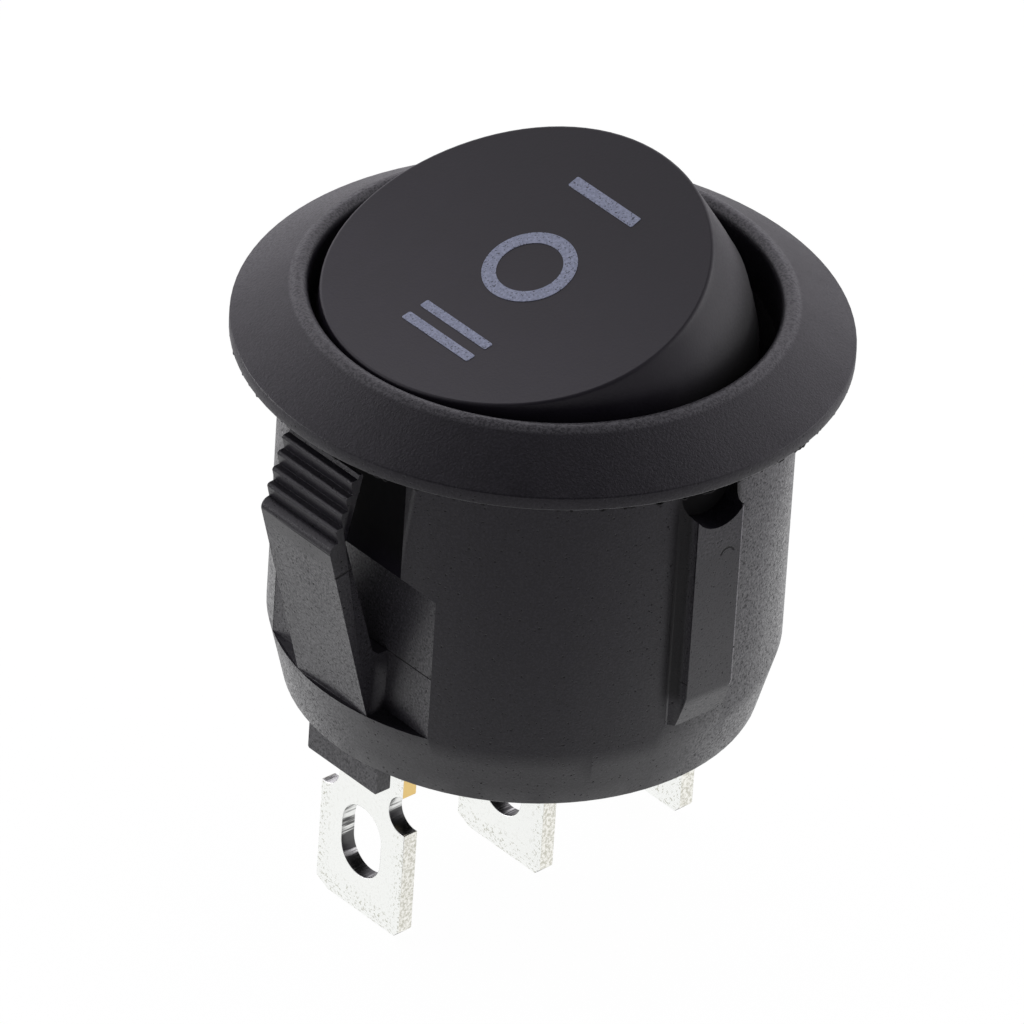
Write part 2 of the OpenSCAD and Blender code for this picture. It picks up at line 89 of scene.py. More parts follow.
class Shader:
    """A material's node tree, with short calls for the nodes that the finishes use."""

    def __init__(self, name: str) -> None:
        """Starts an empty material with a Principled shader.

        Args:
            name: the material's name.
        """
        self.material = bpy.data.materials.new(name)
        self.material.use_nodes = True
        self.tree = self.material.node_tree
        self.tree.nodes.clear()
        self.output = self.tree.nodes.new("ShaderNodeOutputMaterial")
        self.principled = self.tree.nodes.new("ShaderNodeBsdfPrincipled")
        self.link(self.principled.outputs["BSDF"], self.output.inputs["Surface"])
        self.coordinates = self.tree.nodes.new("ShaderNodeTexCoord")

    def link(self, source: bpy.types.NodeSocket, target: bpy.types.NodeSocket) -> None:
        """Joins an output to an input."""
        self.tree.links.new(source, target)

    def place(self) -> bpy.types.NodeSocket:
        """Returns the Object coordinates."""
        return self.coordinates.outputs["Object"]

    def facing(self) -> bpy.types.NodeSocket:
        """Returns the surface's normal in the piece's own frame."""
        return self.coordinates.outputs["Normal"]

    def put(self, socket: bpy.types.NodeSocket, value: object) -> None:
        """Sets an input to a constant or joins it to an output."""
        if isinstance(value, bpy.types.NodeSocket):
            self.link(value, socket)
        else:
            socket.default_value = value

    def math(self, operation: str, a: object, b: object = 0.0) -> bpy.types.NodeSocket:
        """Returns a Math node's value.

        Args:
            operation: the node's operation.
            a: first value or socket.
            b: second value or socket.
        """
        node = self.tree.nodes.new("ShaderNodeMath")
        node.operation = operation
        for socket, value in zip(node.inputs, (a, b)):
            self.put(socket, value)
        return node.outputs[0]

    def fold(self, operation: str, values: Sequence[object]) -> bpy.types.NodeSocket:
        """Returns what a Math operation makes of several values, from the first to the last."""
        result, *others = values
        for value in others:
            result = self.math(operation, result, value)
        return result

    def times(self, *values: object) -> bpy.types.NodeSocket:
        """Returns the product of several values."""
        return self.fold("MULTIPLY", values)

    def plus(self, *values: object) -> bpy.types.NodeSocket:
        """Returns the sum of several values."""
        return self.fold("ADD", values)

    def most(self, *values: object) -> bpy.types.NodeSocket:
        """Returns the greatest of several values."""
        return self.fold("MAXIMUM", values)

    def less(self, a: object, b: object) -> bpy.types.NodeSocket:
        """Returns the first value less the second."""
        return self.math("SUBTRACT", a, b)

    def size(self, value: object) -> bpy.types.NodeSocket:
        """Returns a value without its sign."""
        return self.math("ABSOLUTE", value)

    def reach(self, x: object, y: object) -> bpy.types.NodeSocket:
        """Returns the length of a vector with two parts."""
        return self.math("SQRT", self.plus(self.times(x, x), self.times(y, y)))

    def along(self, x: object, y: object, way: Sequence[float]) -> bpy.types.NodeSocket:
        """Returns how far a level vector reaches along a level direction.

        Args:
            x: the vector's part along X.
            y: the vector's part along Y.
            way: the direction.
        """
        return self.plus(self.times(x, way[0]), self.times(y, way[1]))

    def split(self, vector: bpy.types.NodeSocket) -> Sequence[bpy.types.NodeSocket]:
        """Returns a vector's three parts."""
        node = self.tree.nodes.new("ShaderNodeSeparateXYZ")
        self.link(vector, node.inputs[0])
        return node.outputs

    def stretch(self, factors: Sequence[float]) -> bpy.types.NodeSocket:
        """Returns the Object coordinates scaled along each axis."""
        node = self.tree.nodes.new("ShaderNodeMapping")
        node.vector_type = "POINT"
        node.inputs["Scale"].default_value = factors
        self.link(self.place(), node.inputs["Vector"])
        return node.outputs[0]

    def noise(self, scale: float, detail: float = 2.0, rough: float = 0.5,
              at: bpy.types.NodeSocket | None = None) -> bpy.types.NodeSocket:
        """Returns noise with the given number of grains a metre.

        Args:
            scale: grains a metre.
            detail: octaves.
            rough: how strong the finer octaves are.
            at: coordinates, or the Object ones.
        """
        node = self.tree.nodes.new("ShaderNodeTexNoise")
        self.link(at or self.place(), node.inputs["Vector"])
        node.inputs["Scale"].default_value = scale
        node.inputs["Detail"].default_value = detail
        node.inputs["Roughness"].default_value = rough
        return node.outputs["Fac"]

    def cells(self, scale: float) -> bpy.types.NodeSocket:
        """Returns the distance to the middle of rounded cells, so many a metre."""
        node = self.tree.nodes.new("ShaderNodeTexVoronoi")
        node.feature = "F1"
        self.link(self.place(), node.inputs["Vector"])
        node.inputs["Scale"].default_value = scale
        return node.outputs["Distance"]

    def span(self, value: object, low: float, high: float, to_low: float = 0.0,
             to_high: float = 1.0) -> bpy.types.NodeSocket:
        """Returns a value mapped smoothly from one span to another."""
        node = self.tree.nodes.new("ShaderNodeMapRange")
        node.interpolation_type = "SMOOTHSTEP"
        for key, number in (("From Min", low), ("From Max", high),
                            ("To Min", to_low), ("To Max", to_high)):
            node.inputs[key].default_value = number
        self.put(node.inputs["Value"], value)
        return node.outputs[0]

    def ramp(self, value: object, limits: Limits) -> bpy.types.NodeSocket:
        """Returns a length mapped smoothly to 0 at its first limit, in millimetres, and 1 at its second."""
        return self.span(value, limits[0] * MM, limits[1] * MM)

    def fade(self, mask: object, off: float, on: float) -> bpy.types.NodeSocket:
        """Returns a mask mapped smoothly to the values for its 0 and its 1."""
        return self.span(mask, 0.0, 1.0, off, on)

    def blend(self, amount: object, first: object, second: object) -> bpy.types.NodeSocket:
        """Returns a mix of two colours."""
        node = self.tree.nodes.new("ShaderNodeMix")
        node.data_type = "RGBA"
        self.put(node.inputs[0], amount)
        for socket, value in ((node.inputs[6], first), (node.inputs[7], second)):
            self.put(socket, (*value, 1.0) if isinstance(value, tuple) else value)
        return node.outputs[2]

    def bump(self, height: bpy.types.NodeSocket, depth: float, strength: object = 1.0,
             over: bpy.types.NodeSocket | None = None) -> bpy.types.NodeSocket:
        """Returns a normal that is roughened by a height.

        Args:
            height: the height, from 0 to 1.
            depth: the height's depth in millimetres.
            strength: how much of it shows.
            over: a normal to roughen further.
        """
        node = self.tree.nodes.new("ShaderNodeBump")
        node.inputs["Distance"].default_value = depth * MM
        self.put(node.inputs["Strength"], strength)
        self.link(height, node.inputs["Height"])
        if over is not None:
            self.link(over, node.inputs["Normal"])
        return node.outputs[0]

    def finish(self, **sockets: object) -> bpy.types.Material:
        """Sets the Principled shader's inputs and returns the material.

        Args:
            **sockets: input names with underscores for spaces, and their values or sockets.
        """
        for key, value in sockets.items():
            socket = self.principled.inputs[key.replace("_", " ")]
            self.put(socket, (*value, 1.0) if isinstance(value, tuple) and len(value) == 3 else value)
        return self.material


class Spot:
    """Where a shaded point lies and how it faces, as sockets."""

    def __init__(self, s: Shader) -> None:
        """Splits the point's place and its normal.

        Args:
            s: the material's shader.
        """
        self.x, self.y, self.z = s.split(s.place())
        self.face_x, self.face_y, self.face_z = s.split(s.facing())
        self.far_x = s.size(self.x)
        self.far_y = s.size(self.y)
        self.radius = s.reach(self.x, self.y)


@dataclass(frozen=True)
class HousingNylon:
    """Black moulded nylon: spark-eroded grain, small pits, the marks that the mould leaves, and painted
    sheen, highlights, reflections and shade.

    A pair of limits says where a mask is 0 and where it is 1: in millimetres for a height (z), a
    radius (r) or a place without its sign (x and y), and as a part of the normal for a facing.
    """

    name: str = "housing nylon"
    colour: Colour = (0.0100, 0.0088, 0.0132)
    pale: Colour = (0.0200, 0.0180, 0.0250)
    # Painted shade, and the dark pits, cut lines and flecks
    dark: Colour = (0.003, 0.0028, 0.0036)
    # Painted sheen, highlights and reflections, and pale grain specks
    sheen_and_specks: Colour = (0.120, 0.119, 0.127)
    # A painted highlight along one long corner of each key
    bright: Colour = (0.40, 0.40, 0.41)
    refraction: float = 1.53

    # The two sides that face across the view, which take a painted sheen with pale grain specks, and the
    # back part of the bezel's slope, which takes a painted reflection
    side_way: tuple[float, float] = (0.735, -0.678)
    side_facing: Limits = (0.5, 0.85)
    side_z: Limits = (0.0, -0.1)
    back_way: tuple[float, float] = (0.25, 0.97)
    back_reach: Limits = (4.0, 10.5)

    # The bezel: outside its opening, its slope, its lip and its lower rim with the flash under it
    outside_r: Limits = (8.4, 8.8)
    slope_z: Limits = (0.40, 0.62)
    slope_r: Limits = (8.7, 8.95)
    lip_z: Limits = (1.9, 2.0)
    lip_r: Limits = (8.62, 8.72)
    rim_z: Limits = (-0.2, 0.0)
    rim_r: Limits = (11.38, 11.44)
    # The flash skin under the rim, which takes painted shade
    skin_r: Limits = (11.2, 11.3)
    skin_top_z: Limits = (0.0, -0.02)
    skin_foot_z: Limits = (-0.5, -0.4)

    # The latches' crests, and the slit line on their arms' sides, which climbs outward
    crest_x: Limits = (10.2, 10.5)
    crest_z: Limits = (-5.3, -4.2)
    arm_x: Limits = (10.2, 10.3)
    arm_y: Limits = (1.9, 1.94)
    slit_z: float = -5.1
    slit_x: float = 10.8
    slit_climb: float = 0.2
    slit_line: Limits = (0.05, 0.03)

    # The recesses behind the latches, which take painted shade, and the line across their flats
    recess_r: Limits = (9.1, 8.95)
    recess_foot_z: Limits = (-6.6, -5.2)
    recess_top_z: Limits = (-0.1, -0.2)
    flat_x: Limits = (8.6, 8.5)
    flat_facing: Limits = (0.93, 0.98)
    ledge_r: Limits = (8.44, 8.46)
    ledge_z: float = -9.4
    ledge_line: Limits = (0.035, 0.015)
    shade_z: Limits = (-5.4, -4.0)
    shade_refraction: float = 1.16

    # The keys: face, roots in painted shade, a corner with a painted highlight, a slanted foot with a
    # painted reflection of the floor, and a bowed mark (x, z, radius)
    face_y: Limits = (10.1, 10.16)
    face_z: Limits = (-1.6, -1.9)
    fleck_z: Limits = (-3.7, -4.2)
    root_y: Limits = (9.2, 9.3)
    root_in_x: Limits = (1.09, 1.16)
    root_out_x: Limits = (1.85, 1.3)
    root_foot_z: Limits = (-10.6, -9.9)
    root_top_z: Limits = (0.0, -0.1)
    corner_x: Limits = (1.03, 1.055)
    foot_y: Limits = (9.2, 9.4)
    foot_z: Limits = (-12.2, -12.0)
    foot_facing: Limits = (-0.3, -0.42)
    mark: tuple[float, float, float] = (0.40, -4.25, 0.33)
    mark_line: Limits = (0.055, 0.03)
    mark_top: Limits = (0.06, 0.16)

    # Grains a metre: moulded grain, its finer part, flow clouds, streaks, and large and small pits
    grain: float = 9800
    fine: float = 17000
    flow: float = 420
    streaks: float = 5200
    large_pits: float = 2300
    small_pits: float = 4700
    flow_stretch: tuple[float, float, float] = (1.0, 1.0, 0.35)
    streak_stretch: tuple[float, float, float] = (1.0, 1.0, 0.05)

    # How far each mark carves into the skin
    grain_depth: float = 0.05
    fine_depth: float = 0.012
    pit_depth: float = 0.03
    streak_depth: float = 0.05
    cut_depth: float = 0.05
    shade_depth: float = 0.03

    # How much of the colour of painted sheen, highlights and reflections each part takes
    side_sheen_share: float = 0.40
    speck_sheen_share: float = 0.44
    lip_highlight_share: float = 0.62
    rim_highlight_share: float = 0.24
    back_reflection_share: float = 0.75
    foot_reflection_share: float = 0.80

    def bezel_masks(self, s: Shader, at: Spot, side: bpy.types.NodeSocket) -> Sequence[bpy.types.NodeSocket]:
        """Returns where the bezel's slope, its lip and lower rim with painted highlights, the back of the
        slope with a painted reflection, and the flash skin with painted shade are.

        Args:
            s: the material's shader.
            at: the shaded point.
            side: how far the point faces across the view, where a painted sheen falls.
        """
        slope = s.times(s.ramp(at.z, self.slope_z), s.ramp(at.radius, self.slope_r))
        lip = s.times(s.ramp(at.z, self.lip_z), s.ramp(at.radius, self.lip_r))
        rim = s.times(s.ramp(at.radius, self.rim_r), s.ramp(at.z, self.rim_z), side)
        back = s.times(s.ramp(s.along(at.x, at.y, self.back_way), self.back_reach), slope)
        skin = s.times(s.ramp(at.radius, self.skin_r), s.ramp(at.z, self.skin_top_z),
                       s.ramp(at.z, self.skin_foot_z))
        return slope, lip, rim, back, skin

    def latch_masks(self, s: Shader, at: Spot) -> Sequence[bpy.types.NodeSocket]:
        """Returns where the latches' crests, slit lines, recesses and the recesses' lines are.

        Args:
            s: the material's shader.
            at: the shaded point.
        """
        crest = s.times(s.ramp(at.far_x, self.crest_x), s.ramp(at.z, self.crest_z))
        arm = s.times(s.ramp(at.far_x, self.arm_x), s.ramp(at.far_y, self.arm_y))
        line = s.plus(at.z, s.times(s.less(at.far_x, self.slit_x * MM), self.slit_climb))
        slit = s.times(s.ramp(s.size(s.less(line, self.slit_z * MM)), self.slit_line), arm)
        recess = s.times(s.ramp(at.radius, self.recess_r), s.ramp(at.radius, self.outside_r),
                         s.ramp(at.z, self.recess_foot_z), s.ramp(at.z, self.recess_top_z))
        flat = s.times(s.ramp(at.far_x, self.flat_x), s.span(s.size(at.face_x), *self.flat_facing))
        ledge = s.times(flat, s.ramp(at.radius, self.ledge_r),
                        s.ramp(s.size(s.less(at.z, self.ledge_z * MM)), self.ledge_line))
        return crest, slit, recess, ledge

    def key_masks(self, s: Shader, at: Spot) -> Sequence[bpy.types.NodeSocket]:
        """Returns where the keys' faces, roots in painted shade, corners with a painted highlight, slanted
        feet with a painted reflection and bowed marks are.

        Args:
            s: the material's shader.
            at: the shaded point.
        """
        face = s.times(s.ramp(at.far_y, self.face_y), s.ramp(at.z, self.face_z))
        root = s.times(s.ramp(at.far_y, self.root_y), s.ramp(at.far_x, self.root_in_x),
                       s.ramp(at.far_x, self.root_out_x), s.ramp(at.z, self.root_foot_z),
                       s.ramp(at.z, self.root_top_z))
        hand = s.span(s.times(at.x, at.y), 0.0, -1.0 * MM * MM)
        corner = s.times(hand, s.ramp(at.far_x, self.corner_x), face)
        foot = s.times(s.ramp(at.far_y, self.foot_y), s.span(at.face_z, *self.foot_facing),
                       s.ramp(at.z, self.foot_z))
        mark_x, mark_z, mark_r = (value * MM for value in self.mark)
        over = s.less(at.z, mark_z)
        reach = s.reach(over, s.less(at.x, mark_x))
        bow = s.times(s.ramp(s.size(s.less(reach, mark_r)), self.mark_line),
                      s.ramp(over, self.mark_top), face)
        return face, root, corner, foot, bow

    def shaded(self) -> bpy.types.Material:
        """Builds a shaded copy of the nylon for the recesses behind the latches: painted shade that darkens
        toward the top, rougher and with weaker reflections.
        """
        s = Shader(self.name + " in the recess")
        grain = s.noise(self.grain, 2.0, 0.6)
        _, _, z = s.split(s.place())
        # Painted shade, darker toward the top of the recess
        colour = s.blend(s.ramp(z, self.shade_z), self.colour, self.dark)
        normal = s.bump(grain, self.shade_depth, 0.3)
        return s.finish(Base_Color=colour, Roughness=0.85, Normal=normal, IOR=self.shade_refraction)

    def material(self) -> bpy.types.Material:
        """Builds the material."""
        s = Shader(self.name)
        at = Spot(s)
        side = s.span(s.size(s.along(at.face_x, at.face_y, self.side_way)), *self.side_facing)
        slope, lip, rim, back, skin = self.bezel_masks(s, at, side)
        crest, slit, recess, ledge = self.latch_masks(s, at)
        face, root, corner, foot, bow = self.key_masks(s, at)
        # Painted sheen on the sides that face across the view, below the bezel and off the latches' crests
        side_sheen = s.times(s.less(1.0, crest), side, s.ramp(at.z, self.side_z))

        grain = s.noise(self.grain, 2.0, 0.6)
        fine = s.noise(self.fine, 1.0, 0.5)
        flow = s.noise(self.flow, 2.0, 0.5, s.stretch(self.flow_stretch))
        streaks = s.noise(self.streaks, 2.0, 0.6, s.stretch(self.streak_stretch))
        pits = s.most(s.span(s.cells(self.large_pits), 0.13, 0.05),
                      s.span(s.cells(self.small_pits), 0.17, 0.07))
        pits = s.times(pits, s.ramp(at.radius, self.outside_r), s.fade(slope, 1.0, 0.35))
        # Pale grain specks, much stronger where the painted sheen falls
        specks = s.times(s.span(grain, 0.51, 0.62), s.fade(side_sheen, 0.10, 1.0))
        # Dark grain spots, much stronger on the sides as painted shade in the grain's hollows
        dark_grain_and_shade = s.times(s.span(grain, 0.44, 0.35), s.fade(side_sheen, 0.10, 0.8))
        flecks = s.times(s.span(grain, 0.50, 0.60), face, s.ramp(at.z, self.fleck_z), 0.45)
        cut = s.most(bow, slit, ledge)

        normal = s.bump(grain, self.grain_depth, s.fade(slope, 0.16, 0.36))
        normal = s.bump(fine, self.fine_depth, 0.5, normal)
        normal = s.bump(s.less(1.0, pits), self.pit_depth, 0.6, normal)
        normal = s.bump(streaks, self.streak_depth, s.times(root, 0.6), normal)
        normal = s.bump(s.less(1.0, cut), self.cut_depth, 1.0, normal)

        # Painted highlights on the bezel's lip and on its lower rim where it faces across the view, and a
        # painted reflection on the back of the slope, broken up by the grain
        edges = s.most(s.times(lip, self.lip_highlight_share), s.times(rim, self.rim_highlight_share),
                       s.times(back, self.back_reflection_share))
        edges = s.times(edges, s.span(grain, 0.38, 0.60, 0.35, 1.25))
        # The painted sheen on the sides, with its specks
        sides = s.plus(s.times(side_sheen, self.side_sheen_share), s.times(specks, self.speck_sheen_share))
        # Painted sheen, highlights and the keys' painted floor reflection, with pale grain specks
        sheen_and_specks = s.most(sides, edges, s.times(foot, self.foot_reflection_share))
        # Painted shade in the keys' roots, the recesses, on the flash skin and in the grain's hollows, with
        # the dark pits, cut lines and flecks
        shade_and_dark_marks = s.most(root, recess, cut, pits, skin, dark_grain_and_shade, flecks)
        colour = s.blend(s.span(s.plus(grain, fine), 0.8, 1.25), self.colour, self.pale)
        colour = s.blend(sheen_and_specks, colour, self.sheen_and_specks)
        # A painted highlight along one long corner of each key
        colour = s.blend(corner, colour, self.bright)
        colour = s.blend(shade_and_dark_marks, colour, self.dark)
        rough = s.plus(s.span(flow, 0.3, 0.7, -0.02, 0.03), s.fade(specks, 0.38, 0.27),
                       s.times(shade_and_dark_marks, s.fade(recess, 0.30, 0.58)))
        return s.finish(Base_Color=colour, Roughness=rough, Normal=normal, IOR=self.refraction)


@dataclass(frozen=True)
class RockerNylon:
    """Black moulded nylon with a fine satin face, a painted reflection that lightens it toward the -X end,
    and painted shade down its wall and on its trunnion ends.

    Limits are as in the housing's nylon; the wall's height is measured square to the rocker's own face.
    """

    name: str = "rocker nylon"
    colour: Colour = (0.0088, 0.0070, 0.0122)
    pale: Colour = (0.0205, 0.0172, 0.0262)
    shade: Colour = (0.002, 0.002, 0.002)
    refraction: float = 1.53
    painted_reflection_x: Limits = (6.5, -6.5)
    wall_height: Limits = (2.6, 0.6)
    trunnion_y: Limits = (7.5, 7.7)
    trunnion_z: Limits = (0.6, 0.0)
    grain: float = 9000
    clouds: float = 420
    dust: float = 1500
    grain_depth: float = 0.008
    dust_depth: float = 0.01

    def material(self) -> bpy.types.Material:
        """Builds the material."""
        s = Shader(self.name)
        x, y, z = s.split(s.place())
        turn = math.radians(TILT)
        height = s.less(s.times(z, math.cos(turn)), s.times(x, math.sin(turn)))
        wall = s.ramp(height, self.wall_height)
        end = s.times(s.ramp(s.size(y), self.trunnion_y), s.ramp(z, self.trunnion_z))
        fine = s.noise(self.grain, 2.0, 0.55)
        cloud = s.noise(self.clouds, 3.0, 0.6)
        dust = s.span(s.cells(self.dust), 0.045, 0.02)
        normal = s.bump(fine, self.grain_depth, 0.45)
        normal = s.bump(dust, self.dust_depth, 0.25, normal)
        # A painted reflection that grows toward the -X end, mottled by clouds
        pale = s.times(s.span(cloud, 0.35, 0.7, 0.5, 1.0), s.ramp(x, self.painted_reflection_x))
        colour = s.blend(pale, self.colour, self.pale)
        # Painted shade down the wall and on the trunnion ends
        colour = s.blend(s.most(end, wall), colour, self.shade)
        rough = s.plus(s.span(cloud, 0.3, 0.7, 0.36, 0.40), s.span(fine, 0.4, 0.6, 0.02, -0.02),
                       s.times(end, 0.6), s.times(wall, 0.3))
        return s.finish(Base_Color=colour, Roughness=rough, Normal=normal, IOR=self.refraction)


@dataclass(frozen=True)
class SignPaint:
    """Pad-printed grey paint with a faint speckle and pinholes."""

    name: str = "sign paint"
    colour: Colour = (0.33, 0.37, 0.50)
    pale: Colour = (0.50, 0.55, 0.70)
    pinhole: Colour = (0.10, 0.11, 0.15)
    speckle: float = 9500
    pinholes: float = 12500

    def material(self) -> bpy.types.Material:
        """Builds the material."""
        s = Shader(self.name)
        speckle = s.noise(self.speckle, 3.0, 0.7)
        holes = s.span(s.noise(self.pinholes, 1.0, 0.5), 0.60, 0.70)
        colour = s.blend(s.span(speckle, 0.35, 0.68), self.colour, self.pale)
        colour = s.blend(holes, colour, self.pinhole)
        return s.finish(Base_Color=colour, Roughness=0.55, Normal=s.bump(speckle, 0.01, 0.6), IOR=1.45)


@dataclass(frozen=True)
class TinPlate:
    """Bright tin plate on stamped brass: pecked faces, streaked punched walls and bare brass at the roots.

    Limits beside a named height or width are measured from it.
    """

    name: str = "tin plate"
    plate: Colour = (0.87, 0.88, 0.86)
    pecked: Colour = (0.52, 0.52, 0.46)
    torn: Colour = (0.10, 0.10, 0.10)
    flank: Colour = (0.60, 0.59, 0.52)
    flank_bright: Colour = (0.93, 0.92, 0.87)
    brass: Colour = (0.83, 0.60, 0.24)
    aside: float = 0.25
    half: float = 2.35
    outer: Limits = (-0.12, -0.03)
    near_side: Limits = (-0.9, 0.0)
    line_z: float = -22.4
    near_line: Limits = (0.9, 0.0)
    root_z: float = -16.6
    bare: Limits = (-0.04, 0.02)
    eye_z: float = -19.65
    eye: Limits = (0.1, -0.75)
    notch_z: float = -17.35
    notch_top: Limits = (0.15, -0.35)
    notch_foot: Limits = (-0.95, -0.85)
    smooth_y: Limits = (1.8, 2.0)
    wall_facing: Limits = (0.8, 0.45)
    pecks: float = 7600
    bands: float = 3300
    band_stretch: tuple[float, float, float] = (0.1, 1.0, 1.0)

    def beside(self, s: Shader, value: object, start: float, limits: Limits) -> bpy.types.NodeSocket:
        """Returns a length mapped smoothly between limits that are measured from a named size.

        Args:
            s: the material's shader.
            value: the length.
            start: the named size.
            limits: where it is 0 and where it is 1.
        """
        return s.ramp(value, (start + limits[0], start + limits[1]))

    def material(self) -> bpy.types.Material:
        """Builds the material."""
        s = Shader(self.name)
        _, y, z = s.split(s.place())
        across, _, _ = s.split(s.facing())
        wall = s.span(s.size(across), *self.wall_facing)
        out = s.size(s.less(y, self.aside * MM))
        outer = self.beside(s, out, self.half, self.outer)
        near = s.most(self.beside(s, out, self.half, self.near_side),
                      self.beside(s, z, self.line_z, self.near_line))
        eye = self.beside(s, z, self.eye_z, self.eye)
        notch = s.times(self.beside(s, z, self.notch_z, self.notch_top),
                        self.beside(s, z, self.notch_z, self.notch_foot))
        bare = s.times(wall, self.beside(s, z, self.root_z, self.bare))

        pecks = s.noise(self.pecks, 2.0, 0.7)
        bands = s.noise(self.bands, 3.0, 0.7, s.stretch(self.band_stretch))
        bands = s.less(bands, s.times(s.most(eye, notch), 0.16))
        marks = s.times(s.span(pecks, 0.55, 0.64), s.fade(near, 0.12, 1.0))
        punched = s.blend(s.span(s.plus(bands, s.ramp(y, self.smooth_y)), 0.36, 0.52),
                          self.torn, self.plate)
        flank = s.blend(s.span(pecks, 0.38, 0.60), self.flank, self.flank_bright)
        colour = s.blend(marks, self.plate, self.pecked)
        colour = s.blend(wall, colour, s.blend(outer, punched, flank))
        colour = s.blend(bare, colour, self.brass)
        normal = s.bump(pecks, 0.02, s.fade(near, 0.15, 0.5))
        normal = s.bump(bands, 0.05, s.times(wall, 0.5), normal)
        return s.finish(Base_Color=colour, Metallic=1.0, Roughness=s.fade(wall, 0.26, 0.38), Normal=normal)


@dataclass(frozen=True)
class Metal:
    """A plain metal with fine marks."""

    name: str
    colour: Colour
    roughness: float
    uneven: float = 0.06
    dimmed: float = 0.72
    marks: float = 4200

    def material(self) -> bpy.types.Material:
        """Builds the material."""
        s = Shader(self.name)
        marks = s.noise(self.marks, 3.0, 0.6)
        dark = tuple(self.dimmed * part for part in self.colour)
        colour = s.blend(s.span(marks, 0.35, 0.7), dark, self.colour)
        rough = s.span(marks, 0.3, 0.7, self.roughness - self.uneven, self.roughness + self.uneven)
        return s.finish(Base_Color=colour, Metallic=1.0, Roughness=rough, Normal=s.bump(marks, 0.01, 0.4))


@dataclass(frozen=True)
class NaturalNylon:
    """Unpigmented nylon."""

    name: str = "natural nylon"
    colour: Colour = (0.78, 0.76, 0.68)
    dim: Colour = (0.70, 0.68, 0.60)
    clouds: float = 900

    def material(self) -> bpy.types.Material:
        """Builds the material."""
        s = Shader(self.name)
        cloud = s.noise(self.clouds, 2.0, 0.5)
        colour = s.blend(s.span(cloud, 0.3, 0.7), self.colour, self.dim)
        return s.finish(Base_Color=colour, Roughness=0.42, Normal=s.bump(cloud, 0.02, 0.3), IOR=1.52)


# ---------------------------------------------------------------- pieces


def piece(name: str, mesh: bpy.types.Mesh, finish: bpy.types.Material, body: Body) -> bpy.types.Object:
    """Makes a mesh a piece that rides on a body.

    Args:
        name: the piece's name.
        mesh: its finished mesh, in the row frame.
        finish: its material.
        body: the body that it rides on.

    Returns:
        The new object.
    """
    mesh.materials.clear()
    mesh.materials.append(finish)
    obj = bpy.data.objects.new(name, mesh)
    bpy.context.scene.collection.objects.link(obj)
    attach(obj, body.value)
    LOG.info("%s: %d faces on %s", name, len(mesh.polygons), body.value)
    return obj


def meshed(bm: bmesh.types.BMesh, name: str) -> bpy.types.Mesh:
    """Puts a bmesh's faces in a new mesh and frees it.

    Args:
        bm: the bmesh.
        name: the new mesh's name.

    Returns:
        The new mesh.
    """
    mesh = bpy.data.meshes.new(name)
    bm.to_mesh(mesh)
    bm.free()
    return mesh


@dataclass(frozen=True)
class Zone:
    """Sharp edges that share one rounding: those whose middle lies within some limits, in millimetres.

    Places along X and Y are taken without their sign; a hand of 1 or -1 asks for that sign of their
    product. A zone with no width only marks out faces.
    """

    width: float = 0.0
    x: Limits = (0.0, math.inf)
    y: Limits = (0.0, math.inf)
    z: Limits = (-math.inf, math.inf)
    radius: Limits = (0.0, math.inf)
    steps: int = 3
    hand: int = 0

    def holds(self, place: Vector) -> bool:
        """Tells whether a place, in millimetres, lies in the zone."""
        values = ((abs(place.x), self.x), (abs(place.y), self.y), (place.z, self.z),
                  (math.hypot(place.x, place.y), self.radius))
        inside = all(low <= value <= high for value, (low, high) in values)
        return inside and place.x * place.y * self.hand >= 0.0


@dataclass
class Rounding:
    """Joins a solid's loose triangles, rounds its edges zone by zone, and shades it smooth.

    The first zone that holds an edge rounds it; a turn takes a place in millimetres into the frame
    that the zones are given in.
    """

    zones: Sequence[Zone]
    turn: Matrix = field(default_factory=lambda: Matrix.Identity(4))
    weld: float = 0.0002
    flat: float = 0.4

    def bevel(self, bm: bmesh.types.BMesh, zone: Zone, rounded: bmesh.types.BMLayerItem) -> None:
        """Rounds the sharp edges of one zone and marks the new faces.

        Args:
            bm: the solid.
            zone: the zone.
            rounded: the layer that marks faces made by a rounding.
        """
        picked = []
        for edge in bm.edges:
            if len(edge.link_faces) != 2 or any(face[rounded] for face in edge.link_faces):
                continue
            place = self.turn @ ((edge.verts[0].co + edge.verts[1].co) / (2 * MM))
            first = next((z for z in self.zones if z.holds(place)), None)
            if first is zone and edge.calc_face_angle(0.0) > math.radians(SHARP):
                picked.append(edge)
        if not picked:
            return
        made = bmesh.ops.bevel(bm, geom=picked, offset=zone.width * MM, offset_type="OFFSET",
                               segments=zone.steps, profile=0.5, affect="EDGES", clamp_overlap=True,
                               material=-1)
        for face in made["faces"]:
            face[rounded] = 1

    def apply(self, mesh: bpy.types.Mesh) -> None:
        """Rounds and shades a solid's mesh.

        Args:
            mesh: the mesh, which is changed.
        """
        bm = bmesh.new()
        bm.from_mesh(mesh)
        bmesh.ops.remove_doubles(bm, verts=bm.verts, dist=self.weld * MM)
        bmesh.ops.dissolve_limit(bm, angle_limit=math.radians(self.flat), verts=bm.verts, edges=bm.edges)
        rounded = bm.faces.layers.int.new("rounded")
        for zone in self.zones:
            self.bevel(bm, zone, rounded)
        for face in bm.faces:
            face.smooth = True
        for edge in bm.edges:
            soft = any(face[rounded] for face in edge.link_faces)
            edge.smooth = soft or edge.calc_face_angle(0.0) < math.radians(SHARP)
        bm.to_mesh(mesh)
        bm.free()


